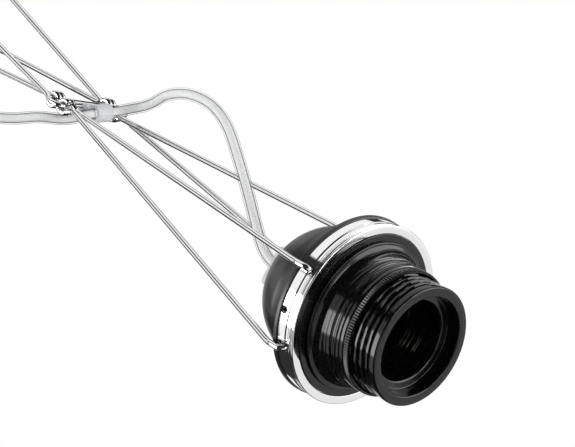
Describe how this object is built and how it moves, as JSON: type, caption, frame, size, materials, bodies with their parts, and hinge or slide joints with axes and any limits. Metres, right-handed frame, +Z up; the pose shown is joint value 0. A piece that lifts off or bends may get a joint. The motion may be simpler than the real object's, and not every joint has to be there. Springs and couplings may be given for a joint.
{
  "type": "wire-hung lampholder",
  "caption": "Pendant lampholder hung on jointed steel rods: chrome hook ring, domed cap, black threaded barrel with a shade ring, and a slack jacketed cord.",
  "frame": {"origin": "middle of the four upper hooks, at their height", "axes": "+Z up; +Y along the pairs of hooks; +X across them, towards the side that the lamp's mouth leans to"},
  "size_m": [0.0954, 0.0661, 0.3433],
  "materials": {
    "rod_steel": "polished",
    "link_chrome": "polished",
    "ring_chrome": "polished",
    "clip_plastic": "satin",
    "clear_plastic": "gloss",
    "cap_black": "satin",
    "black_gloss": "gloss",
    "dark_steel": "satin",
    "screw_steel": "satin",
    "block_white": "matte",
    "brass": "satin",
    "core_brown": "satin",
    "core_blue": "satin",
    "cord_jacket": "gloss",
    "tie_black": "matte",
    "ferrule_tin": "satin"
  },
  "bodies": {
    "hanger": {"stay_rod_e": "rod_steel", "stay_rod_f": "rod_steel", "stay_rod_g": "rod_steel", "stay_rod_h": "rod_steel", "cord_feed": "cord_jacket", "cord_coil": "cord_jacket", "cord_tie": "tie_black", "cord_tail": "ferrule_tin"},
    "link": {"link_ring": "link_chrome", "cord_clip": "clip_plastic"},
    "bail_left": {"bail_rod_a": "rod_steel", "bail_rod_b": "rod_steel"},
    "bail_right": {"bail_rod_c": "rod_steel", "bail_rod_d": "rod_steel"},
    "holder": {"hook_ring": "ring_chrome", "grub_screw_a": "dark_steel", "grub_screw_b": "dark_steel", "dome_cap": "cap_black", "cord_grip": "clear_plastic", "grip_screw": "screw_steel", "nipple": "screw_steel", "nipple_nut": "screw_steel", "barrel": "black_gloss", "contact_block": "block_white", "lamp_shell": "brass", "side_contact": "brass", "terminal_live": "brass", "terminal_neutral": "brass", "terminal_screw_live": "screw_steel", "terminal_screw_neutral": "screw_steel", "core_live": "core_brown", "core_neutral": "core_blue", "cord_slack": "cord_jacket"},
    "washer": {"shade_washer": "black_gloss"},
    "shade_ring": {"shade_ring": "black_gloss"},
    "contact": {"centre_contact": "brass"}
  },
  "joints": [
    {"name": "link_swing", "type": "hinge", "parent": "hanger", "child": "link", "pos_m": [-0.0029, 0.00076, -0.1167], "axis": [0.9023, 0.1284, 0.4115], "range_deg": [-12, 12], "deforming": ["cord_feed"]},
    {"name": "bail_rock", "type": "hinge", "parent": "link", "child": "bail_left", "pos_m": [-0.0139, -0.0008, -0.1294], "axis": [0, 1, 0], "range_deg": [-6, 6]},
    {"name": "holder_rock", "type": "hinge", "parent": "bail_left", "child": "holder", "pos_m": [-0.02633, 0.0017, -0.31601], "axis": [0, 1, 0], "range_deg": [-3.15, 3.15], "deforming": ["cord_slack"]},
    {"name": "right_rock", "type": "hinge", "parent": "holder", "child": "bail_right", "pos_m": [0.02428, 0.0017, -0.30339], "axis": [0, 1, 0], "range_deg": [-3, 3]},
    {"name": "washer_slide", "type": "slide", "parent": "holder", "child": "washer", "axis": [0.2419, 0, -0.9703], "range_m": [0, 0.0075]},
    {"name": "ring_turn", "type": "hinge", "parent": "washer", "child": "shade_ring", "pos_m": [0.00173, 0.0017, -0.32076], "axis": [0.2419, 0, -0.9703], "range_deg": [0, 1080.5]},
    {"name": "contact_press", "type": "slide", "parent": "holder", "child": "contact", "axis": [-0.2419, 0, 0.9703], "range_m": [0, 0.002], "stiffness_N_per_m": 1500}
  ],
  "couplings": [
    {"joint": "holder_rock", "follows": "bail_rock", "ratio": -0.51847},
    {"joint": "right_rock", "follows": "bail_rock", "ratio": 0.49011},
    {"joint": "ring_turn", "follows": "washer_slide", "rad_per_m": 2513.3}
  ]
}
